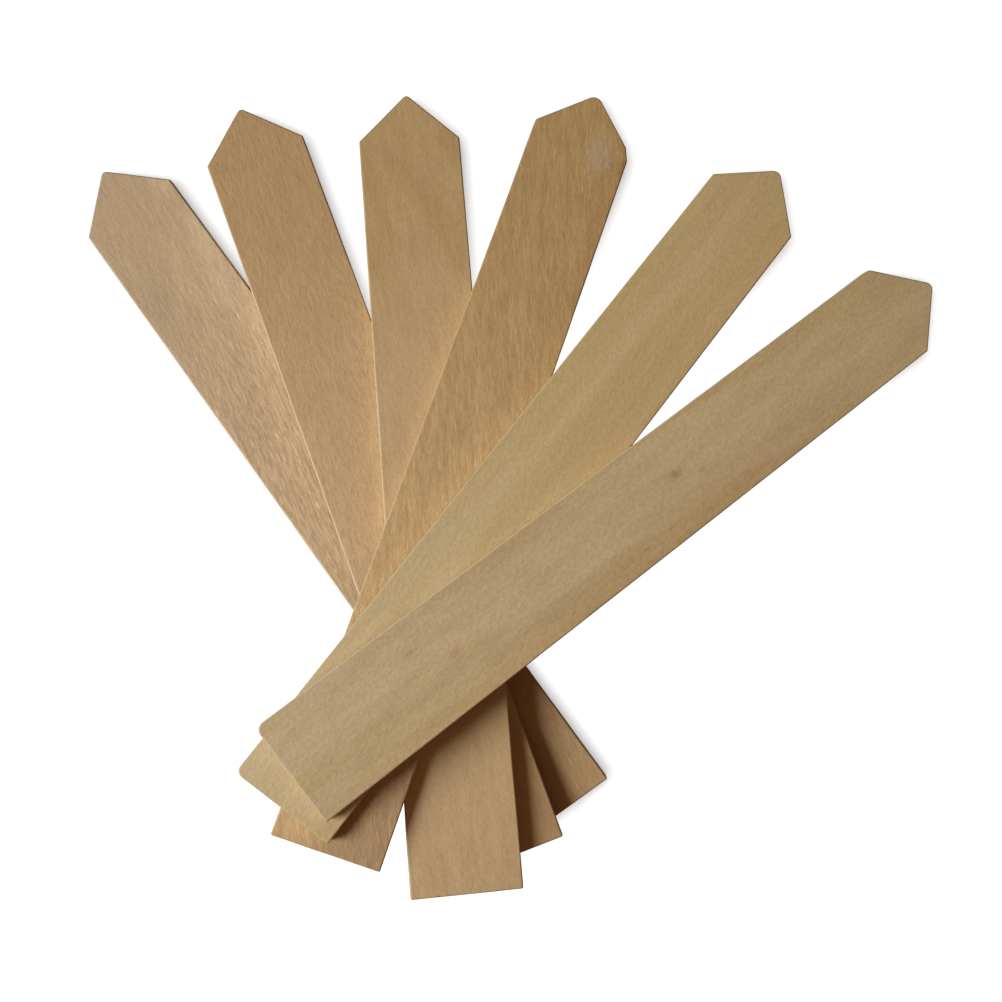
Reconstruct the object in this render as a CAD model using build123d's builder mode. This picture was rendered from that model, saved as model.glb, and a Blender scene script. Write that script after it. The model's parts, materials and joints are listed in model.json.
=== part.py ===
"""A fan of six flat wooden plant label stakes, lying loose on a table.

Every stake is one thin strip with a blunt end to write on and a short point for the soil.
The bottom stake lies flat. Each later one leans over an edge of the stake below it and meets
the table with its pointed end, so the blunt ends climb where the stakes cross.
"""

import os
from math import cos, radians, sin

from build123d import *

# Sizes of one stake, in millimetres.
stake_length = 150.0
blunt_width = 20.7
shoulder_width = 19.15
stake_thickness = 2.5
point_length = 8.9

# Softened edges, and how much rounder than its edges each kind of corner is.
edge_round = 0.3
plain_corner_extra = 0.1
tip_extra = 0.6
worn_corner_extra = 1.1
worn_tip_extra = 1.5
worn_shoulder_cut = 1.5

# Air left between two stakes that rest on each other.
rest_gap = 0.03

# The way the fan opens, from the bottom stake to the top one.
# The first point is turned left from straight to the right, in degrees.
first_heading = 125.9
# Each later stake is turned right from the stake below it, in degrees.
turns = [15.7, 15.6, 24.1, 18.5, 15.0]
# Where the centre lines of two neighbours cross, from the blunt end of the lower stake.
crossings_on_lower = [44.4, 31.7, 65.3, 35.4, 15.2]
# The same crossings, from the blunt end of the upper stake.
crossings_on_upper = [46.3, 35.8, 60.2, 31.3, 9.5]

# Outline of a stake in its own plane: x runs from its middle to the point, y to its left edge.
# The sides run a little closer together from the blunt end to the shoulders.
half_length = stake_length / 2
shoulder_x = half_length - point_length
tip = Vector(half_length, 0, 0)
left_shoulder = Vector(shoulder_x, shoulder_width / 2, 0)
right_shoulder = Vector(shoulder_x, -shoulder_width / 2, 0)
left_end = Vector(-half_length, blunt_width / 2, 0)
right_end = Vector(-half_length, -blunt_width / 2, 0)
label_shape = [right_end, right_shoulder, tip, left_shoulder, left_end]

corner_round = edge_round + plain_corner_extra
tip_round = edge_round + tip_extra
worn_corner_round = edge_round + worn_corner_extra
worn_tip_round = edge_round + worn_tip_extra

up = Vector(0, 0, 1)


def lie_flat(middle, heading):
    """Plane of a stake whose underside lies flat on the table."""
    forward = Vector(cos(radians(heading)), sin(radians(heading)), 0)
    return Plane(middle, x_dir=forward, z_dir=up)


def lean_over(edge, below, flat):
    """Plane of a stake that leans over one top edge of the stake below and meets the table."""
    rest_height = up * (stake_thickness + rest_gap)
    back = below.from_local_coords(edge[0] + rest_height)
    front = below.from_local_coords(edge[1] + rest_height)
    right = (front - back).cross(up).normalized()
    along = up.cross(right)
    climb = (front - back).Z / (front - back).dot(along)

    # The stake tips to the right until the first of its front corners meets the table.
    drops = []
    for corner in (right_shoulder, tip):
        spot = flat.from_local_coords(corner) - back
        edge_height = back.Z + climb * spot.dot(along)
        drops.append(edge_height / spot.dot(right))
    drop = min(drops)

    # The stake keeps its middle and its heading as seen from above.
    normal = (right - up * drop).cross(along + up * climb).normalized()
    to_middle = flat.origin - back
    height = back.Z + climb * to_middle.dot(along) - drop * to_middle.dot(right)
    forward = flat.x_dir - up * (flat.x_dir.dot(normal) / normal.Z)
    return Plane(flat.origin + up * height, x_dir=forward, z_dir=normal)


def lean_on(below, flat):
    """Plane of a stake over the right top edge of the one below, or the left one if that sticks up."""
    bed = lean_over((right_end, right_shoulder), below, flat)
    left_top_corner = below.from_local_coords(left_end + up * stake_thickness)
    if bed.to_local_coords(left_top_corner).Z > 0:
        bed = lean_over((left_end, left_shoulder), below, flat)
    return bed


def make_stake(
    name,
    bed,
    tip_radius=tip_round,
    left_shoulder_radius=corner_round,
    left_end_radius=corner_round,
    worn_right_shoulder=False,
):
    """One stake: its outline drawn on its bed, given its thickness and softened all around."""
    with BuildPart() as stake:
        with BuildSketch(bed) as outline:
            with BuildLine():
                Polyline(*label_shape, close=True)
            make_face()
            fillet(outline.vertices().sort_by_distance(tip)[0], radius=tip_radius)
            fillet(outline.vertices().sort_by_distance(left_shoulder)[0], radius=left_shoulder_radius)
            fillet(outline.vertices().sort_by_distance(right_end)[0], radius=corner_round)
            fillet(outline.vertices().sort_by_distance(left_end)[0], radius=left_end_radius)
            if worn_right_shoulder:
                chamfer(outline.vertices().sort_by_distance(right_shoulder)[0], length=worn_shoulder_cut)
            else:
                fillet(outline.vertices().sort_by_distance(right_shoulder)[0], radius=corner_round)
        extrude(amount=stake_thickness)
        fillet(stake.faces().filter_by(bed).edges(), radius=edge_round)
    stake.part.label = name
    return stake.part


# Lay the fan out flat first, each stake across the one before it.
heading = first_heading
flats = [lie_flat(Vector(0, 0, 0), heading)]
for turn, on_lower, on_upper in zip(turns, crossings_on_lower, crossings_on_upper):
    heading -= turn
    crossing = flats[-1].from_local_coords(Vector(on_lower - half_length, 0, 0))
    to_middle = lie_flat(crossing, heading).x_dir * (half_length - on_upper)
    flats.append(lie_flat(crossing + to_middle, heading))

# Then settle the pile from the bottom stake upwards.
beds = [flats[0]]
for flat in flats[1:]:
    beds.append(lean_on(beds[-1], flat))

# Slide the whole fan so that the middle of its footprint stands on the origin.
corners = [bed.from_local_coords(corner) for bed in beds for corner in label_shape]
centre_x = (min(corner.X for corner in corners) + max(corner.X for corner in corners)) / 2
centre_y = (min(corner.Y for corner in corners) + max(corner.Y for corner in corners)) / 2
to_origin = Location((-centre_x, -centre_y, 0))
beds = [Plane(to_origin * bed.location) for bed in beds]

# The pieces, from the bottom stake at the far left to the top one at the far right.
stakes = [
    make_stake("stake_1", beds[0]),
    make_stake("stake_2", beds[1]),
    make_stake("stake_3", beds[2]),
    make_stake(
        "stake_4",
        beds[3],
        tip_radius=worn_tip_round,
        left_shoulder_radius=tip_round,
        worn_right_shoulder=True,
    ),
    make_stake(
        "stake_5",
        beds[4],
        tip_radius=worn_corner_round,
        left_end_radius=worn_corner_round,
    ),
    make_stake(
        "stake_6",
        beds[5],
        tip_radius=worn_corner_round,
        left_shoulder_radius=worn_corner_round,
        left_end_radius=worn_corner_round,
    ),
]

os.makedirs("parts", exist_ok=True)
for stake in stakes:
    export_step(stake, f"parts/{stake.label}.step")
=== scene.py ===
# %% [markdown]
# A fan of wooden plant labels lies loose on a table. The measured model already holds every
# label as its own piece at its true size, so the lesson starts by loading it. Whatever is
# added later has to stay inside that box.

# %% Load the measured model
import json
from math import cos, pi, radians, sin, tan

import bpy
from mathutils import Matrix, Vector, noise
from mathutils.geometry import delaunay_2d_cdt


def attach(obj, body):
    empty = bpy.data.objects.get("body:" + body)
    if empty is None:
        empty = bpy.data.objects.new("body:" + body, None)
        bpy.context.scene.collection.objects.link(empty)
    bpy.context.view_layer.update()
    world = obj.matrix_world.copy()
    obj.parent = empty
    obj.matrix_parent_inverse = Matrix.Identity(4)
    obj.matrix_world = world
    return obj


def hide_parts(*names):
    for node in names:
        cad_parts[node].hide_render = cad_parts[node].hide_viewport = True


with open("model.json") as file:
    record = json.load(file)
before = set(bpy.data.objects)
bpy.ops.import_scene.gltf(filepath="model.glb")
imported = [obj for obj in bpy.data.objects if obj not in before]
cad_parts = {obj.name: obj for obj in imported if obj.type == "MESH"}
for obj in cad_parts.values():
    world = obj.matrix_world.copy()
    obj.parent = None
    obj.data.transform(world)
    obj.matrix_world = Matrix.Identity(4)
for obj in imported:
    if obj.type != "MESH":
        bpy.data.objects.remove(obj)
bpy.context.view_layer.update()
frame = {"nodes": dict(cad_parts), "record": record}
mm = 0.001
stake_names = sorted(frame["nodes"])
print("pieces:", stake_names)

# %% [markdown]
# The picture was taken from close by, almost straight down. A camera that stands near makes the
# raised blunt ends look larger than the points, so the distance matters as much as the angle. The
# lens follows from how many pixels one unit of sideways slope covers in the picture.

# %% Camera
picture_pixels = 1002
slope_pixels = 1200
film_width = 36
camera_distance = 230.1 * mm
camera_lean = radians(1.2)
look_at = Vector((-1.68, -2.45, 0)) * mm
nearest_view = 10 * mm

camera_data = bpy.data.cameras.new("camera")
camera_data.sensor_width = film_width
camera_data.lens = film_width * slope_pixels / picture_pixels
camera_data.clip_start = nearest_view
camera = bpy.data.objects.new("camera", camera_data)
camera.location = look_at + Vector((0, -sin(camera_lean), cos(camera_lean))) * camera_distance
camera.rotation_euler = (camera_lean, 0, 0)
bpy.context.collection.objects.link(camera)
bpy.context.scene.camera = camera
print("lens in millimetres:", round(camera_data.lens, 1))

# %% [markdown]
# The table, the room and the woods are all made of shader nodes, so a few short helpers come first.
# One adds a node and fills or wires its inputs, two do sums on numbers and on vectors, and one lays
# a colour over another where a mask is white. The last two make a node group and place it in a
# material. Keeping them small makes the recipes of the woods easy to read.

# %% Helpers for shader nodes
def put(tree, kind, inputs=None, **settings):
    """Adds a node, sets its options, and wires or fills the named inputs."""
    node = tree.nodes.new(kind)
    for option, value in settings.items():
        setattr(node, option, value)
    for key, value in (inputs or {}).items():
        if isinstance(value, bpy.types.NodeSocket):
            tree.links.new(value, node.inputs[key])
        else:
            node.inputs[key].default_value = value
    return node


def sums(tree, operation, first, second=0.0, third=0.0, clamp=False):
    """The result of one sum on two or three values."""
    values = {0: first, 1: second, 2: third}
    return put(tree, "ShaderNodeMath", values, operation=operation, use_clamp=clamp).outputs[0]


def vector_sums(tree, operation, first, second):
    """The result of one sum on two vectors."""
    return put(tree, "ShaderNodeVectorMath", {0: first, 1: second}, operation=operation).outputs[0]


def lay_over(tree, colour, mask, tint, amount):
    """A tint laid over a colour where the mask is white, as strong as amount says."""
    strength = sums(tree, "MULTIPLY", mask, amount, clamp=True)
    node = put(tree, "ShaderNodeMix", {0: strength, 6: colour, 7: tint}, data_type="RGBA")
    return node.outputs[2]


print("helpers ready: put, sums, vector_sums, lay_over")

# %% Helpers for node groups
def new_group(name, inputs):
    """A shader node group with a Place to read, the given inputs, and a mask to put out."""
    group = bpy.data.node_groups.new(name, "ShaderNodeTree")
    group.interface.new_socket("Place", in_out="INPUT", socket_type="NodeSocketVector")
    for socket_name, value in inputs.items():
        kind = "NodeSocketVector" if isinstance(value, tuple) else "NodeSocketFloat"
        socket = group.interface.new_socket(socket_name, in_out="INPUT", socket_type=kind)
        socket.default_value = value
    group.interface.new_socket("Mask", in_out="OUTPUT", socket_type="NodeSocketFloat")
    given = group.nodes.new("NodeGroupInput").outputs
    result = group.nodes.new("NodeGroupOutput").inputs
    return group, given, result


def use(tree, group, place, **values):
    """Places a group in a material with its own values and gives its mask."""
    node = put(tree, "ShaderNodeGroup", node_tree=group)
    tree.links.new(place, node.inputs["Place"])
    for name, value in values.items():
        node.inputs[name].default_value = value
    return node.outputs["Mask"]


print("helpers ready: new_group, use")

# %% [markdown]
# The labels lie on a plain pale table top. It is a wide flat sheet with a very soft cloudiness. A
# photographer lights such a sheet until it looks white and only thin shadows stay next to the object.
# Here the sheet shines only for the viewer, less where something stands close over it, so that it
# looks white without lighting the labels from below.

# %% Table top
table_half = 3.0
table_drop = 0.1 * mm

table_mesh = bpy.data.meshes.new("table_top")
corner_sides = ((-1, -1), (1, -1), (1, 1), (-1, 1))
table_corners = [(x * table_half, y * table_half, -table_drop) for x, y in corner_sides]
table_mesh.from_pydata(table_corners, [], [(0, 1, 2, 3)])
table_top = bpy.data.objects.new("table_top", table_mesh)
bpy.context.collection.objects.link(table_top)
print("table top", 2 * table_half, "m wide")

# %% White of the table top
darker_grey = (0.20, 0.20, 0.20, 1)
paler_grey = (0.24, 0.24, 0.24, 1)
black = (0, 0, 0, 1)
cloud_scale = 6.0
table_roughness = 0.8
shadow_reach = 2.5 * mm
shadow_rays = 8

table_paint = bpy.data.materials.new("table_white")
table_paint.use_nodes = True
tree = table_paint.node_tree
surface = tree.nodes["Principled BSDF"]
table_place = put(tree, "ShaderNodeTexCoord").outputs["Object"]
cloud_inputs = {"Vector": table_place, "Scale": cloud_scale}
cloudiness = put(tree, "ShaderNodeTexNoise", cloud_inputs).outputs["Fac"]
table_grey = lay_over(tree, darker_grey, cloudiness, paler_grey, 1.0)
tree.links.new(table_grey, surface.inputs["Base Color"])
surface.inputs["Roughness"].default_value = table_roughness
near = {"Distance": shadow_reach}
open_sky = put(tree, "ShaderNodeAmbientOcclusion", near, samples=shadow_rays).outputs["Color"]
seen = put(tree, "ShaderNodeLightPath").outputs["Is Camera Ray"]
shine = lay_over(tree, black, seen, open_sky, 1.0)
tree.links.new(shine, surface.inputs["Emission Color"])
surface.inputs["Emission Strength"].default_value = 1.0
table_mesh.materials.append(table_paint)
print("shadows reach", shadow_reach / mm, "mm over the table")

# %% [markdown]
# The light comes from one window on the left, rather low, so that every label shades the one
# under it on its right and the eased edges on the left shine. The shadow of a label is about 1.4
# times as wide as the label is thick, which gives the height of the window. A dim warm room fills
# the shadows, while its wall looks plain white from where the viewer stands.

# %% Window
window_distance = 1.0
window_height_angle = radians(36)
window_side_angle = radians(189)
window_size = 0.50
window_power = 16.2
window_tint = (0.93, 1.0, 1.0)

window_data = bpy.data.lights.new("window", "AREA")
window_data.shape = "DISK"
window_data.size = window_size
window_data.energy = window_power
window_data.color = window_tint
window = bpy.data.objects.new("window", window_data)
level = cos(window_height_angle)
toward_window = Vector((
    cos(window_side_angle) * level,
    sin(window_side_angle) * level,
    sin(window_height_angle),
))
window.location = toward_window * window_distance
window.rotation_euler = toward_window.to_track_quat("Z", "Y").to_euler()
bpy.context.collection.objects.link(window)
print("window at", [round(side, 3) for side in window.location])

# %% Room
room_tint = (1.0, 0.57, 0.30, 1)
room_strength = 0.20
white = (1.0, 1.0, 1.0, 1)

world = bpy.data.worlds.new("pale_room")
world.use_nodes = True
tree = world.node_tree
room = tree.nodes["Background"]
room.inputs["Color"].default_value = room_tint
room.inputs["Strength"].default_value = room_strength
wall = put(tree, "ShaderNodeBackground", {"Color": white, "Strength": 1.0})
seen = put(tree, "ShaderNodeLightPath").outputs["Is Camera Ray"]
shown = put(tree, "ShaderNodeMixShader", {0: seen, 1: room.outputs[0], 2: wall.outputs[0]})
tree.links.new(shown.outputs[0], tree.nodes["World Output"].inputs["Surface"])
bpy.context.scene.world = world
bpy.context.scene.view_settings.view_transform = "Standard"
print("room fills the shadows at", room_strength)

# %% [markdown]
# Each label gets its own frame: x runs from its middle to the point, y to its left edge, z out
# of its face. The record of the model names the point of every label and the way it looks, and
# the largest flat triangle of its mesh gives the way its face looks. With that frame, a label is
# built lying straight and then carried to its place, and the wood's pattern runs along it.

# %% Frame of each label
label_length = 150.0
points = {mount["name"]: mount for mount in frame["record"]["mounts"]}


def bed_of(name):
    """The frame of one label at rest, from its measured mesh and its named point."""
    mesh = frame["nodes"][name].data
    upper = [polygon for polygon in mesh.polygons if polygon.normal.z > 0]
    up = max(upper, key=lambda polygon: polygon.area).normal.normalized()
    point = points[name.replace("stake", "soil_point")]
    forward = Vector(point["axis"]).normalized()
    left = up.cross(forward).normalized()
    turn = Matrix((forward, left, up)).transposed()
    local = [turn.transposed() @ vertex.co for vertex in mesh.vertices]
    low = Vector(min(axis) for axis in zip(*local))
    high = Vector(max(axis) for axis in zip(*local))
    middle = Vector((low.x + label_length * mm / 2, (low.y + high.y) / 2, low.z))
    bed = Matrix.Translation(turn @ middle) @ turn.to_4x4()
    return bed, (high - low) / mm


beds = {}
for name in stake_names:
    beds[name], measured = bed_of(name)
    print(name, "measures", [round(side, 2) for side in measured])

# All labels are equally thick, so the last one gives the thickness.
label_thickness = measured.z

# %% [markdown]
# A label is a strip with two square corners and a short point, a little narrower at its shoulders
# than at its blunt end. Its outline is drawn as straight runs joined by small arcs. Every outline
# point also keeps the way it looks outwards, so that the same points can be drawn again further in,
# which is how an eased edge is made.

# %% Corners of a label
blunt_width = 20.7
shoulder_width = 19.15
point_length = 8.9
corner_round = 0.4
tip_round = 0.9
worn_shoulder_cut = 1.5


def label_corners(tip_radius, left_shoulder_radius, left_end_radius, worn_right_shoulder):
    """Corners of a label in order around it, each with its rounding."""
    tip = Vector((label_length / 2, 0))
    shoulder = Vector((label_length / 2 - point_length, shoulder_width / 2))
    end = Vector((-label_length / 2, blunt_width / 2))
    right = Vector((1, -1))
    corners = [(end * right, corner_round)]
    if worn_right_shoulder:
        to_end = (end - shoulder).normalized() * worn_shoulder_cut
        to_tip = (tip - shoulder).normalized() * worn_shoulder_cut
        corners.append(((shoulder + to_end) * right, corner_round))
        corners.append(((shoulder + to_tip) * right, corner_round))
    else:
        corners.append((shoulder * right, corner_round))
    corners.append((tip, tip_radius))
    corners.append((shoulder, left_shoulder_radius))
    corners.append((end, left_end_radius))
    return corners


plain = label_corners(tip_round, corner_round, corner_round, False)
print("corners of a plain label:", len(plain))

# %% Outline of a label
least_corner = 0.03
run_step = 0.8
arc_steps = 6


def draw_outline(corners):
    """Points around a label, the way each looks outwards, and how far in each may go."""
    spots = []
    outward = []
    limits = []
    arcs = []
    for index, (corner, radius) in enumerate(corners):
        before = (corner - corners[index - 1][0]).normalized()
        after = (corners[(index + 1) % len(corners)][0] - corner).normalized()
        turn = before.angle_signed(after) * -1
        reach = radius * tan(turn / 2)
        centre = corner - before * reach + Vector((-before.y, before.x)) * radius
        start = Vector((before.y, -before.x))
        looks = [Matrix.Rotation(turn * step / arc_steps, 2) @ start for step in range(arc_steps + 1)]
        arcs.append([(centre + look * radius, look) for look in looks])
    for index, arc in enumerate(arcs):
        spots += [spot for spot, look in arc]
        outward += [look for spot, look in arc]
        limits += [corners[index][1] - least_corner] * len(arc)
        first, look = arc[-1]
        last = arcs[(index + 1) % len(arcs)][0][0]
        count = max(1, round((last - first).length / run_step))
        for step in range(1, count):
            spots.append(first.lerp(last, step / count))
            outward.append(look)
            # A straight run has no rounding to keep, so its limit is never met.
            limits.append(blunt_width)
    return spots, outward, limits


print("outline points:", len(draw_outline(plain)[0]))

# %% [markdown]
# The solid label is a stack of rings. Each ring is the outline drawn a little further in or at
# another height, so that the edges come out rounded. Real sanded edges are uneven, so the rounding
# and the outline wander by a few hundredths of a millimetre, the outline always inwards. At a small
# corner the rings of the edge stop just short of the face, or their points would fall together.

# %% Rings of a label
edge_steps = 5
side_levels = 3
face_margin = 0.1


def ring_profile():
    """Inset, height, level, share of side wood and margin of each ring, from the underside up."""
    quarter = [pi / 2 * step / edge_steps for step in range(edge_steps + 1)]
    under = [(1 - sin(angle), 1 - cos(angle), 0.0, sin(angle)) for angle in quarter]
    inner = range(1, side_levels)
    walls = [(0.0, 1 - 2 * step / side_levels, step / side_levels, 1.0) for step in inner]
    over = [(inset, -height, 1.0, side) for inset, height, level, side in reversed(under)]
    rings = [(1.0, 0.0, 0.0, 0.0, face_margin)]
    rings += [ring + (0.0,) for ring in under + walls + over]
    rings += [(1.0, 0.0, 1.0, 0.0, face_margin)]
    return rings


label_rings = ring_profile()
print("rings on a label:", len(label_rings))

# %% Places on the rings
edge_round = 0.3
most_wander = 0.05
wander_length = 9.0
wander_pitch = 1.7
wander_start = (7, 3)
rounding_wander = 0.25
seed_step = 20.0
end_rise = 2
end_start = 0.5


def end_share(look):
    """How much end grain shows on a side that looks this way."""
    return min(1.0, max(0.0, abs(look.x) * end_rise - end_start))


def lay_rings(seed, outline):
    """Places on all rings of a label, each with its share of side wood and of end grain."""
    places = []
    side_grain = []
    end_grain = []
    for inset, height, level, side, margin in label_rings:
        for spot, look, limit in zip(*outline):
            here = Vector((spot.x, spot.y, seed * seed_step)) / wander_length
            rounding = edge_round * (1 + rounding_wander * noise.noise(here))
            drift = noise.noise(here * wander_pitch + Vector((*wander_start, level)))
            wander = most_wander * (0.5 + 0.5 * drift)
            room = limit if margin else limit - least_corner
            inward = min(inset * rounding + wander + margin, room)
            flat = spot - look * inward
            places.append(Vector((flat.x, flat.y, label_thickness * level + rounding * height)))
            side_grain.append(side)
            end_grain.append(side * end_share(look))
    return places, side_grain, end_grain


def join_rings(count):
    """Faces between each ring and the next, for rings of so many points."""
    faces = []
    for ring in range(len(label_rings) - 1):
        low = ring * count
        high = low + count
        for index in range(count):
            following = (index + 1) % count
            faces.append((low + index, low + following, high + following, high + index))
    return faces


print("outline wanders by up to", most_wander, "mm")

# %% [markdown]
# One wide face of many corners would be split into slivers that shade badly, so the two broad faces
# of a label are filled with even triangles instead. Loose points in staggered rows give the
# triangles their size, and a triangulation that keeps to the ring joins them up.

# %% Broad faces of a label
fill_step = 2.4
row_stagger = 0.25
side_room = 0.7
same_spot = 1e-5
only_inside = 1


def fill_face(ring):
    """Even triangles inside a flat ring, and the loose points that they need."""
    inner = []
    columns = int(label_length / fill_step)
    rows = int(blunt_width / fill_step)
    for column in range(1, columns):
        for row in range(rows + 1):
            along = -label_length / 2 + column * fill_step
            across = (row - rows / 2 + row_stagger * (-1) ** column) * fill_step
            slope = (label_length / 2 - fill_step - along) * shoulder_width / 2 / point_length
            if abs(across) < min(shoulder_width / 2 - fill_step * side_room, slope):
                inner.append(Vector((along, across)))
    outline = [list(range(len(ring)))]
    found = delaunay_2d_cdt(ring + inner, [], outline, only_inside, same_spot)
    source = [origin[0] for origin in found[3]]
    return inner, [[source[corner] for corner in face] for face in found[2]]


print("triangles are about", fill_step, "mm wide")

# %% [markdown]
# The shader needs to know more than where a point is in the room. Three values are kept on every
# point of the mesh: its place along, across and through the label in millimetres, how much of the
# sawn side it shows, and how much end grain. They stay with the label when it is moved.

# %% Mesh of a label
place_value = "stake_place"
side_value = "side_grain"
end_value = "end_grain"


def build_label(name, seed, corners):
    """The mesh of one label in its place, with its values for the shader."""
    outline = draw_outline(corners)
    count = len(outline[0])
    places, side_grain, end_grain = lay_rings(seed, outline)
    faces = join_rings(count)
    for start, rise in ((0, 0.0), (len(places) - count, label_thickness)):
        inner, triangles = fill_face([place.to_2d() for place in places[start:start + count]])
        extra = len(places)
        numbers = list(range(start, start + count)) + list(range(extra, extra + len(inner)))
        turn = 1 if rise else -1
        faces += [tuple(numbers[corner] for corner in triangle[::turn]) for triangle in triangles]
        places += [Vector((spot.x, spot.y, rise)) for spot in inner]
        side_grain += [0.0] * len(inner)
        end_grain += [0.0] * len(inner)

    mesh = bpy.data.meshes.new(name + "_wood")
    mesh.from_pydata([beds[name] @ (place * mm) for place in places], [], faces)
    mesh.polygons.foreach_set("use_smooth", [True] * len(faces))
    place_values = mesh.attributes.new(place_value, "FLOAT_VECTOR", "POINT")
    place_values.data.foreach_set("vector", [value for place in places for value in place])
    mesh.attributes.new(side_value, "FLOAT", "POINT").data.foreach_set("value", side_grain)
    mesh.attributes.new(end_value, "FLOAT", "POINT").data.foreach_set("value", end_grain)
    mesh.update()

    label = bpy.data.objects.new(name + "_wood", mesh)
    bpy.context.collection.objects.link(label)
    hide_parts(name)
    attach(label, name)
    print(label.name, "points", len(places), "faces", len(faces))
    return label


print("values kept on a label:", place_value, side_value, end_value)

# %% [markdown]
# All six labels come from one saw, but wear has changed some corners. The fourth lost the corner of
# its right shoulder and has the bluntest point. The two on top have a rounded corner on the left of
# their blunt end and a rounder point, and the topmost has a rounder left shoulder too.

# %% The six labels
worn_corner_round = 1.4
worn_tip_round = 1.8

worn_fourth = label_corners(worn_tip_round, tip_round, corner_round, True)
worn_fifth = label_corners(worn_corner_round, corner_round, worn_corner_round, False)
worn_sixth = label_corners(worn_corner_round, worn_corner_round, worn_corner_round, False)
labels = {
    "stake_1": build_label("stake_1", 1, plain),
    "stake_2": build_label("stake_2", 2, plain),
    "stake_3": build_label("stake_3", 3, plain),
    "stake_4": build_label("stake_4", 4, worn_fourth),
    "stake_5": build_label("stake_5", 5, worn_fifth),
    "stake_6": build_label("stake_6", 6, worn_sixth),
}

# %% [markdown]
# The look of these woods is made of a few effects that come back on every label, each time with
# other values. Each effect is a node group that is built once. Most start alike: the place on the
# label is turned to the slant of the grain and counted in lengths and widths of the feature, so that
# a long thin feature costs no more than a round one.

# %% Turning a place to the grain
grain_inputs = {"Slant": 0.0, "Length": 10.0, "Width": 1.0, "Shift": 0.0}


def turned(tree, place, slant):
    """A place turned in the plane of the label."""
    inputs = {"Vector": place, "Angle": slant}
    return put(tree, "ShaderNodeVectorRotate", inputs, rotation_type="Z_AXIS").outputs[0]


def counted_in(tree, place, length, width, depth):
    """A place counted in lengths, widths and depths of a feature."""
    sides = {"X": length, "Y": width, "Z": depth}
    size = put(tree, "ShaderNodeCombineXYZ", sides).outputs[0]
    return vector_sums(tree, "DIVIDE", place, size)


def along_grain(tree, given):
    """Place turned to the grain, counted in feature lengths and widths, and moved by the shift."""
    along = turned(tree, given["Place"], given["Slant"])
    counted = counted_in(tree, along, given["Length"], given["Width"], given["Width"])
    return vector_sums(tree, "ADD", counted, given["Shift"])


print("grain inputs:", list(grain_inputs))

# %% Stretching a tone
def soft_step(tree, value, low, high):
    """Zero below low, one above high, and a smooth rise between."""
    inputs = {"Value": value, "From Min": low, "From Max": high}
    return put(tree, "ShaderNodeMapRange", inputs, interpolation_type="SMOOTHSTEP").outputs[0]


def spread_out(tree, tone, spread):
    """A tone around one half, stretched so that the given spread covers black to white."""
    low = sums(tree, "SUBTRACT", 0.5, spread)
    high = sums(tree, "ADD", 0.5, spread)
    return soft_step(tree, tone, low, high)


print("helpers ready: soft_step, spread_out")

# %% [markdown]
# Soft bands are the slow changes of tone where growth layers meet the face at a flat angle. A noise
# that is stretched along the grain and bent a little gives bands that swell, fade and wander.

# %% Soft bands
soft_bands, given, result = new_group("soft_bands", grain_inputs | {"Spread": 0.2})
waves = {"Vector": along_grain(soft_bands, given), "Scale": 1.0, "Detail": 2.5, "Distortion": 0.5}
tone = put(soft_bands, "ShaderNodeTexNoise", waves).outputs["Fac"]
soft_bands.links.new(spread_out(soft_bands, tone, given["Spread"]), result["Mask"])
print("group:", soft_bands.name)

# %% [markdown]
# Fibre lines are the streaks of cut fibres. Real figure has no single size: wide soft changes carry
# narrower ones and those carry hairlines. A noise of five octaves gives that, and its fineness says
# how much of the strength goes into the small ones. With a nearly round size it gives pores and nap.

# %% Fibre lines
fibre_inputs = grain_inputs | {"Fineness": 0.7, "Spread": 0.15}
fibre_lines, given, result = new_group("fibre_lines", fibre_inputs)
waves = {"Vector": along_grain(fibre_lines, given), "Scale": 1.0, "Detail": 4.0, "Distortion": 0.3}
waves["Roughness"] = given["Fineness"]
tone = put(fibre_lines, "ShaderNodeTexNoise", waves).outputs["Fac"]
fibre_lines.links.new(spread_out(fibre_lines, tone, given["Spread"]), result["Mask"])
print("group:", fibre_lines.name)

# %% [markdown]
# Ray flecks are short dashes, dark on beech and pale where a slanting cut tears the fibres. Cells
# scattered by a Voronoi texture and squeezed along the grain make such dashes. Only a share of the
# cells shows, each with its own strength, so that no row of them looks printed.

# %% Ray flecks
bend_scale = 0.7
bend_reach = (0.6, 1.2, 0.6)
core_share = 0.3
least_strength = 0.4
strength_range = 0.6

ray_flecks, given, result = new_group("ray_flecks", grain_inputs | {"Share": 0.6, "Thickness": 0.35})
straight = along_grain(ray_flecks, given)
waves = {"Vector": straight, "Scale": bend_scale, "Detail": 2.0}
bend = put(ray_flecks, "ShaderNodeTexNoise", waves).outputs["Color"]
bend = vector_sums(ray_flecks, "MULTIPLY", bend, bend_reach)
bent = vector_sums(ray_flecks, "ADD", straight, bend)
cells = put(ray_flecks, "ShaderNodeTexVoronoi", {"Vector": bent, "Scale": 1.0}, feature="F1")
core = sums(ray_flecks, "MULTIPLY", given["Thickness"], core_share)
dash = soft_step(ray_flecks, cells.outputs["Distance"], given["Thickness"], core)
chance = put(ray_flecks, "ShaderNodeSeparateColor", {"Color": cells.outputs["Color"]}).outputs
kept = sums(ray_flecks, "LESS_THAN", chance["Red"], given["Share"])
strength = sums(ray_flecks, "MULTIPLY_ADD", chance["Green"], strength_range, least_strength)
dash = sums(ray_flecks, "MULTIPLY", dash, sums(ray_flecks, "MULTIPLY", kept, strength))
ray_flecks.links.new(dash, result["Mask"])
print("group:", ray_flecks.name)

# %% [markdown]
# Spots are single marks in known places: pin knots, stains and rubbed patches. Each is an oval with
# a ragged rim. Its depth says whether it goes through the label, as a knot does, or only lies on
# one face.

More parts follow.
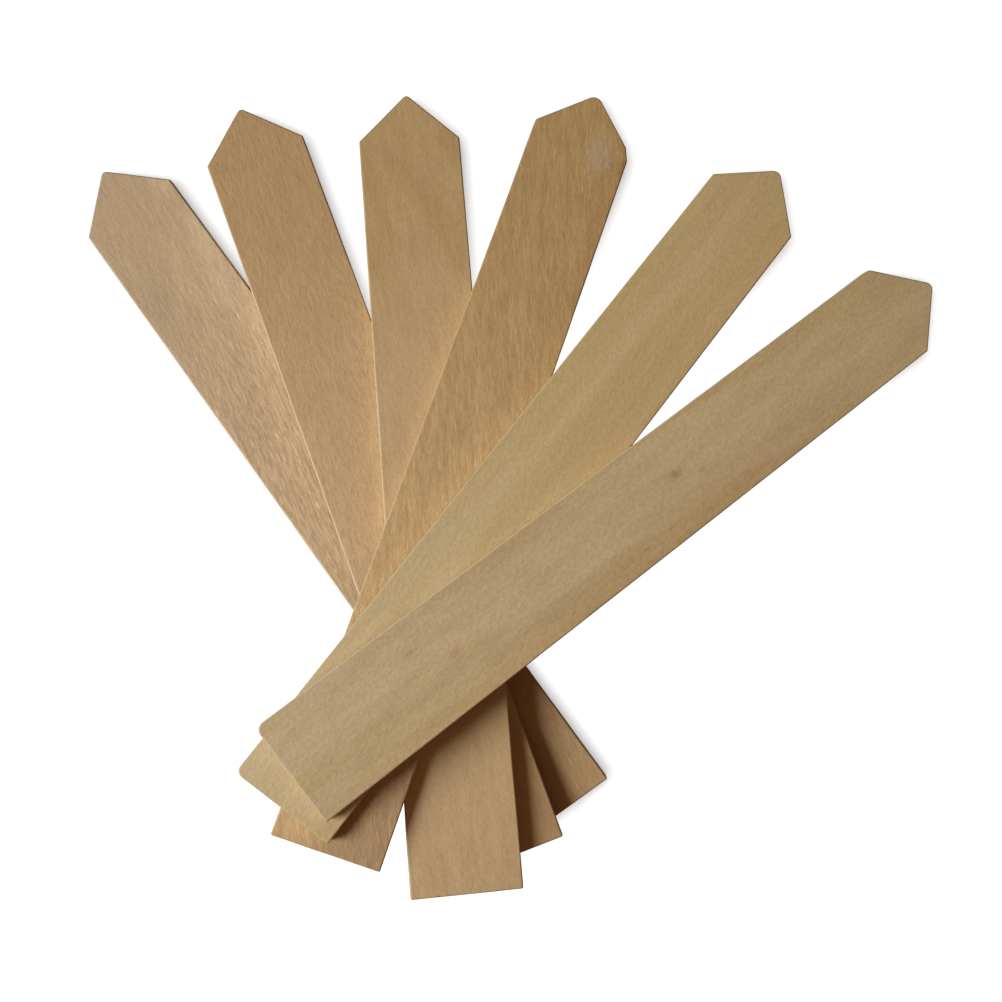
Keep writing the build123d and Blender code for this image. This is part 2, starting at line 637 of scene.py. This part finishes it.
# %% Wood spots
spot_rim = 0.5
spot_core = 0.1

spot_sizes = {"Slant": 0.0, "Length": 4.0, "Width": 2.0, "Depth": 10.0, "Ragged": 0.4}
wood_spot, given, result = new_group("wood_spot", {"Centre": (0.0, 0.0, 0.0)} | spot_sizes)
away = vector_sums(wood_spot, "SUBTRACT", given["Place"], given["Centre"])
away = turned(wood_spot, away, given["Slant"])
away = counted_in(wood_spot, away, given["Length"], given["Width"], given["Depth"])
far = put(wood_spot, "ShaderNodeVectorMath", {0: away}, operation="LENGTH").outputs["Value"]
waves = {"Vector": given["Place"], "Scale": 1.2, "Detail": 3.0}
rim = put(wood_spot, "ShaderNodeTexNoise", waves).outputs["Fac"]
rim = sums(wood_spot, "MULTIPLY", sums(wood_spot, "SUBTRACT", rim, 0.5), given["Ragged"])
far = sums(wood_spot, "ADD", far, rim)
wood_spot.links.new(soft_step(wood_spot, far, spot_rim, spot_core), result["Mask"])
print("group:", wood_spot.name)

# %% [markdown]
# A label is rarely of one tone from end to end or from edge to edge. A tone run rises from black to
# white between two places along it. Turned by a quarter it runs from the left edge to the right.

# %% Tone run
to_right = pi / 2
tone_run, given, result = new_group("tone_run", {"Slant": 0.0, "From": 0.0, "To": 1.0})
along = turned(tone_run, given["Place"], given["Slant"])
reach = put(tone_run, "ShaderNodeSeparateXYZ", {0: along}).outputs["X"]
tone_run.links.new(soft_step(tone_run, reach, given["From"], given["To"]), result["Mask"])
print("group:", tone_run.name)

# %% [markdown]
# Every wood starts and ends the same way. It reads the place kept on the mesh. At the end it gets the
# nap of dry sanded wood, the paler sawn sides with their pores, and a dull, slightly silky shine.
# Raised grain also catches the light, so the figure goes into a bump as well. What lies between is
# the recipe of each wood: a ground colour and thin layers that darken or lighten it.

# %% Start of a wood
def start_wood(name):
    """A new wood and the place that its recipe reads."""
    wood = bpy.data.materials.new(name)
    wood.use_nodes = True
    tree = wood.node_tree
    tree.nodes.clear()
    place = put(tree, "ShaderNodeAttribute", attribute_name=place_value).outputs["Vector"]
    return wood, tree, place


def both(tree, first, second):
    """A mask that is white only where both masks are."""
    return sums(tree, "MULTIPLY", first, second)


def paint(tree, ground, layers):
    """A ground colour with layers of paint on it, each with its mask, tint and strength."""
    colour = ground
    for mask, tint, amount in layers:
        colour = lay_over(tree, colour, mask, tint + (1,), amount)
    return colour


print("every wood reads", place_value)

# %% End of a wood
shade = (0.10, 0.05, 0.02)
wall_start = 0.75
saw_line_strength = 0.12
pore_strength = 0.2
flat_roughness = 0.6
raised_gloss = -0.1
wood_specular = 0.6


def end_wood(name, wood, tree, place, colour, relief, depth, nap_strength, cut_tone):
    """Nap, sawn sides and ends, painted edge shade, dull shine and relief; then the wood goes on its
    label.
    """
    sides = put(tree, "ShaderNodeAttribute", attribute_name=side_value).outputs["Fac"]
    ends = put(tree, "ShaderNodeAttribute", attribute_name=end_value).outputs["Fac"]
    walls = soft_step(tree, sides, wall_start, 1.0)
    # The eased edges are darkened: painted shade that keeps their lit highlight from outshining the
    # faces.
    painted_rim_shade = both(tree, sides, sums(tree, "SUBTRACT", 1.0, sides))
    nap = use(
        tree, fibre_lines, place,
        Slant=-0.15, Length=1.0, Width=0.6, Shift=41.0, Fineness=0.7, Spread=0.16,
    )
    saw_lines = use(tree, fibre_lines, place, Length=9.0, Width=0.5, Shift=11.0)
    pores = use(tree, fibre_lines, place, Length=0.4, Width=0.4, Shift=3.0)
    layers = [
        (nap, shade, nap_strength),
        (walls, cut_tone, 1.0),
        # Painted shade on the eased edges.
        (painted_rim_shade, shade, 1.0),
        (both(tree, sides, saw_lines), shade, saw_line_strength),
        (both(tree, ends, pores), shade, pore_strength),
    ]
    colour = paint(tree, colour, layers)
    dullness = sums(tree, "MULTIPLY_ADD", relief, raised_gloss, flat_roughness)
    height = sums(tree, "SUBTRACT", relief, nap)
    raised = put(tree, "ShaderNodeBump", {"Height": height, "Strength": 1.0, "Distance": depth * mm})
    inputs = {"Base Color": colour, "Roughness": dullness, "Normal": raised.outputs["Normal"]}
    surface = put(tree, "ShaderNodeBsdfPrincipled", inputs)
    surface.inputs["Specular IOR Level"].default_value = wood_specular
    put(tree, "ShaderNodeOutputMaterial", {"Surface": surface.outputs[0]})
    labels[name].data.materials.append(wood)
    print(name, "is", wood.name, "with", len(tree.nodes), "nodes")


print("roughness of flat wood:", flat_roughness)

# %% [markdown]
# The first label is pale beech. Its face was cut so that the rays end on it, which gives short brown
# and pale dashes that lean a little across the label. Towards the point they fade into soft clouds.

# %% Wood of the first label
on_face = 2.5
lean = 0.2
open_strength = 1.35
blunt_loss = 0.7

wood, tree, place = start_wood("pale_beech")
to_point = use(tree, tone_run, place, From=10.0, To=65.0)
blunt_part = use(tree, tone_run, place, From=-25.0, To=-60.0)
tip_part = use(tree, tone_run, place, From=40.0, To=72.0)
right_side = use(tree, tone_run, place, Slant=to_right, From=2.0, To=9.0)
left_side = use(tree, tone_run, place, Slant=to_right, From=2.0, To=-9.0)
closed_face = sums(tree, "MULTIPLY_ADD", blunt_part, blunt_loss, to_point)
open_face = sums(tree, "SUBTRACT", open_strength, closed_face)
figure = use(
    tree, fibre_lines, place,
    Slant=lean, Length=26.0, Width=5.0, Shift=1.0, Fineness=0.75, Spread=0.18,
)
ripple = use(
    tree, fibre_lines, place,
    Slant=lean, Length=2.8, Width=0.65, Shift=4.0, Fineness=0.4, Spread=0.16,
)
dashes = use(
    tree, ray_flecks, place,
    Slant=lean, Length=3.6, Width=0.55, Shift=5.0, Share=0.8, Thickness=0.32,
)
glints = use(
    tree, ray_flecks, place,
    Slant=lean, Length=4.0, Width=0.9, Shift=7.5, Share=0.4, Thickness=0.3,
)
clouds = use(tree, soft_bands, place, Slant=0.3, Length=14.0, Width=5.0, Shift=2.0, Spread=0.16)
blotch = use(
    tree, wood_spot, place,
    Centre=(49.0, 6.5, on_face), Length=16.0, Width=8.0, Depth=4.0, Ragged=0.8,
)
print(wood.name, "has", len(tree.nodes), "nodes before its layers")

# %% Layers of the first wood
glint = (0.80, 0.64, 0.42)
brown_dash = (0.190, 0.085, 0.030)
dim_tan = (0.350, 0.235, 0.130)

layers = [
    (both(tree, left_side, to_point), dim_tan, 0.75),
    (tip_part, (0.385, 0.262, 0.142), 0.3),
    (right_side, (0.540, 0.390, 0.230), 0.7),
    (blunt_part, (0.365, 0.222, 0.098), 0.9),
    (both(tree, clouds, to_point), dim_tan, 0.5),
    (blotch, (0.340, 0.240, 0.145), 0.4),
    (figure, shade, 0.19),
    (both(tree, ripple, open_face), brown_dash, 0.20),
    (both(tree, dashes, open_face), brown_dash, 0.28),
    (both(tree, glints, open_face), glint, 0.26),
]
colour = paint(tree, (0.466, 0.315, 0.168, 1), layers)
relief = sums(tree, "ADD", ripple, sums(tree, "SUBTRACT", glints, dashes))
relief = both(tree, relief, open_face)
end_wood(
    "stake_1", wood, tree, place, colour, relief,
    depth=0.017, nap_strength=0.10, cut_tone=(0.68, 0.52, 0.33),
)

# %% [markdown]
# The second label is warmer beech with finer, closer dashes. It turns from a pinkish tan in the middle
# to a darker brown orange at the point: partly its own tone, partly painted fall-off of the light.

# %% Wood of the second label
wood, tree, place = start_wood("warm_beech")
to_point = use(tree, tone_run, place, From=-20.0, To=70.0)
blunt_part = use(tree, tone_run, place, From=-25.0, To=-60.0)
pink = use(tree, soft_bands, place, Slant=0.05, Length=30.0, Width=8.0, Shift=4.0, Spread=0.18)
figure = use(
    tree, fibre_lines, place,
    Slant=0.06, Length=10.0, Width=3.5, Shift=6.0, Fineness=0.75, Spread=0.18,
)
fibres = use(
    tree, fibre_lines, place,
    Slant=0.06, Length=2.4, Width=0.6, Shift=7.0, Fineness=0.7, Spread=0.18,
)
dashes = use(
    tree, ray_flecks, place,
    Slant=0.08, Length=2.8, Width=0.55, Shift=9.0, Share=0.7, Thickness=0.34,
)
print(wood.name, "has", len(tree.nodes), "nodes before its layers")

# %% Layers of the second wood
layers = [
    (pink, (0.500, 0.330, 0.182), 0.6),
    # Darker towards the point: partly the wood's tone, partly painted fall-off of the light.
    (to_point, (0.390, 0.242, 0.108), 0.8),
    (blunt_part, (0.405, 0.240, 0.114), 0.9),
    (figure, shade, 0.10),
    (fibres, shade, 0.16),
    (dashes, shade, 0.20),
]
colour = paint(tree, (0.540, 0.356, 0.183, 1), layers)
relief = sums(tree, "SUBTRACT", fibres, dashes)
end_wood(
    "stake_2", wood, tree, place, colour, relief,
    depth=0.013, nap_strength=0.07, cut_tone=(0.66, 0.49, 0.30),
)

# %% [markdown]
# The third label is smoother. Near its point broad, soft bands of yellow brown cross it at a slant,
# because the cut runs almost along a growth layer there.

# %% Wood of the third label
in_core = 1.2

wood, tree, place = start_wood("smooth_tan")
to_point = use(tree, tone_run, place, From=10.0, To=85.0)
point_part = use(tree, tone_run, place, From=15.0, To=55.0)
layered = use(tree, soft_bands, place, Slant=-0.5, Length=26.0, Width=7.0, Shift=8.0, Spread=0.15)
figure = use(
    tree, fibre_lines, place,
    Slant=-0.12, Length=14.0, Width=6.0, Shift=14.0, Fineness=0.8, Spread=0.16,
)
fibres = use(
    tree, fibre_lines, place,
    Slant=-0.08, Length=9.0, Width=1.6, Shift=18.0, Fineness=0.6, Spread=0.18,
)
end_mark = use(
    tree, wood_spot, place,
    Centre=(-75.0, 5.2, on_face), Length=1.4, Width=1.6, Depth=4.0,
)
corner = use(
    tree, wood_spot, place,
    Centre=(65.0, -8.0, in_core), Slant=-0.4, Length=14.0, Width=6.0, Ragged=0.6,
)
print(wood.name, "has", len(tree.nodes), "nodes before its layers")

# %% Layers of the third wood
layers = [
    # Darker towards the point: partly the wood's tone, partly painted fall-off of the light.
    (to_point, (0.430, 0.282, 0.128), 0.9),
    (both(tree, layered, point_part), (0.390, 0.247, 0.102), 0.6),
    (corner, (0.340, 0.195, 0.065), 0.35),
    (figure, shade, 0.10),
    (fibres, shade, 0.06),
    (end_mark, shade, 0.8),
]
colour = paint(tree, (0.492, 0.330, 0.170, 1), layers)
end_wood(
    "stake_3", wood, tree, place, colour, fibres,
    depth=0.013, nap_strength=0.13, cut_tone=(0.66, 0.49, 0.29),
)

# %% [markdown]
# The fourth label was cut across the run of its fibres. Short pale streaks rise at a slant over a
# golden brown ground. Its point is rubbed greyish, and its worn shoulder looks scorched.

# %% Wood of the fourth label
wood, tree, place = start_wood("golden_slant")
to_point = use(tree, tone_run, place, From=-30.0, To=60.0)
blunt_part = use(tree, tone_run, place, From=-45.0, To=-65.0)
right_side = use(tree, tone_run, place, Slant=to_right, From=5.0, To=10.0)
inner_side = use(tree, tone_run, place, Slant=to_right, From=-8.0, To=2.0)
figure = use(
    tree, fibre_lines, place,
    Slant=-0.26, Length=11.0, Width=3.2, Shift=13.0, Fineness=0.75, Spread=0.16,
)
fibres = use(
    tree, fibre_lines, place,
    Slant=-0.36, Length=4.6, Width=0.9, Shift=15.0, Fineness=0.6, Spread=0.18,
)
streaks = use(
    tree, ray_flecks, place,
    Slant=-0.38, Length=5.6, Width=0.8, Shift=17.0, Share=0.8, Thickness=0.32,
)
dashes = use(
    tree, ray_flecks, place,
    Slant=-0.3, Length=3.4, Width=0.8, Shift=21.0, Share=0.4, Thickness=0.34,
)
rubbed = use(
    tree, wood_spot, place,
    Centre=(64.0, -4.0, on_face), Slant=-0.3, Length=11.0, Width=7.0, Depth=3.0, Ragged=0.9,
)
scorch = use(
    tree, wood_spot, place,
    Centre=(64.5, -9.5, in_core), Length=10.0, Width=2.6, Depth=6.0, Ragged=0.6,
)
print(wood.name, "has", len(tree.nodes), "nodes before its layers")

# %% Layers of the fourth wood
layers = [
    # Darker towards the point: partly the wood's tone, partly painted fall-off of the light.
    (to_point, (0.424, 0.272, 0.112), 0.9),
    (both(tree, blunt_part, inner_side), (0.400, 0.250, 0.125), 0.95),
    (figure, shade, 0.13),
    (both(tree, right_side, to_point), (0.365, 0.205, 0.065), 0.6),
    (fibres, shade, 0.20),
    (dashes, shade, 0.20),
    (both(tree, streaks, figure), glint, 0.28),
    (rubbed, (0.450, 0.345, 0.250), 0.45),
    (scorch, (0.230, 0.090, 0.022), 0.8),
]
colour = paint(tree, (0.538, 0.353, 0.163, 1), layers)
relief = sums(tree, "ADD", sums(tree, "SUBTRACT", fibres, dashes), streaks)
end_wood(
    "stake_4", wood, tree, place, colour, relief,
    depth=0.016, nap_strength=0.10, cut_tone=(0.65, 0.48, 0.27),
)

# %% [markdown]
# The fifth label is plain straw coloured wood with hardly any figure, only its nap. Its blunt end is
# painted paler and greyer and its point darker, partly its own tone and partly a painted sheen and
# fall-off of the light. It is warmer towards its right edge.

# %% Wood of the fifth label
wood, tree, place = start_wood("straw_plain")
from_end = use(tree, tone_run, place, From=10.0, To=-75.0)
to_point = use(tree, tone_run, place, From=25.0, To=70.0)
right_side = use(tree, tone_run, place, Slant=to_right, From=1.0, To=10.0)
bands = use(tree, soft_bands, place, Slant=0.02, Length=60.0, Width=8.0, Shift=23.0, Spread=0.16)
streaks = use(
    tree, fibre_lines, place,
    Slant=0.02, Length=30.0, Width=3.0, Shift=25.0, Fineness=0.6, Spread=0.16,
)
arch = use(
    tree, wood_spot, place,
    Centre=(24.5, -1.6, on_face), Slant=0.13, Length=30.0, Width=1.2, Depth=4.0,
)
print(wood.name, "has", len(tree.nodes), "nodes before its layers")

# %% Layers of the fifth wood
layers = [
    # Paler and greyer towards the blunt end: partly the wood's tone, partly painted sheen and light.
    (from_end, (0.505, 0.385, 0.228), 0.75),
    # Darker towards the point: partly the wood's tone, partly painted fall-off of the light.
    (to_point, (0.440, 0.318, 0.148), 0.35),
    (bands, (0.470, 0.330, 0.150), 0.7),
    (right_side, (0.475, 0.315, 0.142), 0.6),
    (streaks, shade, 0.05),
    (arch, shade, 0.06),
]
colour = paint(tree, (0.528, 0.390, 0.198, 1), layers)
end_wood(
    "stake_5", wood, tree, place, colour, streaks,
    depth=0.016, nap_strength=0.14, cut_tone=(0.67, 0.52, 0.31),
)

# %% [markdown]
# The sixth label, on top, has soft lengthwise bands of grey and yellow with short, faint streaks in
# them, two pin knots just past its middle, and a rusty right edge with warm dashes.

# %% Wood of the sixth label
through = 20.0

wood, tree, place = start_wood("banded_tan")
to_point = use(tree, tone_run, place, From=30.0, To=75.0)
right_side = use(tree, tone_run, place, Slant=to_right, From=5.0, To=10.0)
blunt_part = use(tree, tone_run, place, From=40.0, To=-30.0)
warm_edge = both(tree, right_side, blunt_part)
grey = use(tree, soft_bands, place, Length=80.0, Width=8.0, Shift=27.0, Spread=0.14)
yellow = use(tree, soft_bands, place, Slant=0.02, Length=45.0, Width=4.0, Shift=33.0, Spread=0.14)
streaks = use(
    tree, fibre_lines, place,
    Length=12.0, Width=3.0, Shift=29.0, Fineness=0.6, Spread=0.16,
)
dashes = use(
    tree, ray_flecks, place,
    Slant=0.05, Length=3.0, Width=0.7, Shift=35.0, Share=0.5, Thickness=0.4,
)
middle = use(
    tree, wood_spot, place,
    Centre=(0.0, 2.2, in_core), Slant=0.036, Length=500.0, Width=16.0, Depth=through, Ragged=0.3,
)
rusty_edge = use(
    tree, wood_spot, place,
    Centre=(6.0, -10.0, in_core), Length=120.0, Width=13.0, Depth=through, Ragged=0.5,
)
print(wood.name, "has", len(tree.nodes), "nodes before its knots")

# %% Knots and marks of the sixth wood
knot_place = (12.3, 0.9, in_core)
small_knot_place = (16.9, -1.2, in_core)
red_place = (-39.5, -0.5, on_face)
brown_place = (-46.0, 4.4, on_face)
mark_depth = 3.0

halo = use(tree, wood_spot, place, Centre=knot_place, Length=7.0, Width=3.4, Depth=through)
knot = use(tree, wood_spot, place, Centre=knot_place, Slant=0.3, Length=3.0, Width=2.0, Depth=through)
small_knot = use(tree, wood_spot, place, Centre=small_knot_place, Length=2.6, Width=1.6, Depth=through)
red_mark = use(tree, wood_spot, place, Centre=red_place, Length=5.0, Width=2.4, Depth=mark_depth)
brown_mark = use(tree, wood_spot, place, Centre=brown_place, Length=4.0, Width=1.2, Depth=mark_depth)
print("knots at", knot_place[0], "and", small_knot_place[0], "mm past the middle")

# %% Layers of the sixth wood
layers = [
    (grey, (0.466, 0.350, 0.212), 0.9),
    (yellow, (0.460, 0.325, 0.152), 0.62),
    (middle, (0.590, 0.440, 0.265), 0.45),
    (to_point, (0.470, 0.362, 0.166), 0.5),
    (warm_edge, (0.485, 0.320, 0.145), 0.4),
    (rusty_edge, (0.450, 0.290, 0.130), 0.6),
    (streaks, shade, 0.08),
    (both(tree, dashes, rusty_edge), (0.330, 0.170, 0.055), 0.7),
    (halo, (0.400, 0.265, 0.120), 0.4),
    (knot, (0.300, 0.165, 0.055), 0.55),
    (small_knot, (0.400, 0.235, 0.060), 0.55),
    (red_mark, (0.400, 0.225, 0.115), 0.4),
    (brown_mark, (0.300, 0.180, 0.085), 0.4),
]
colour = paint(tree, (0.518, 0.388, 0.210, 1), layers)
end_wood(
    "stake_6", wood, tree, place, colour, streaks,
    depth=0.016, nap_strength=0.16, cut_tone=(0.66, 0.51, 0.32),
)
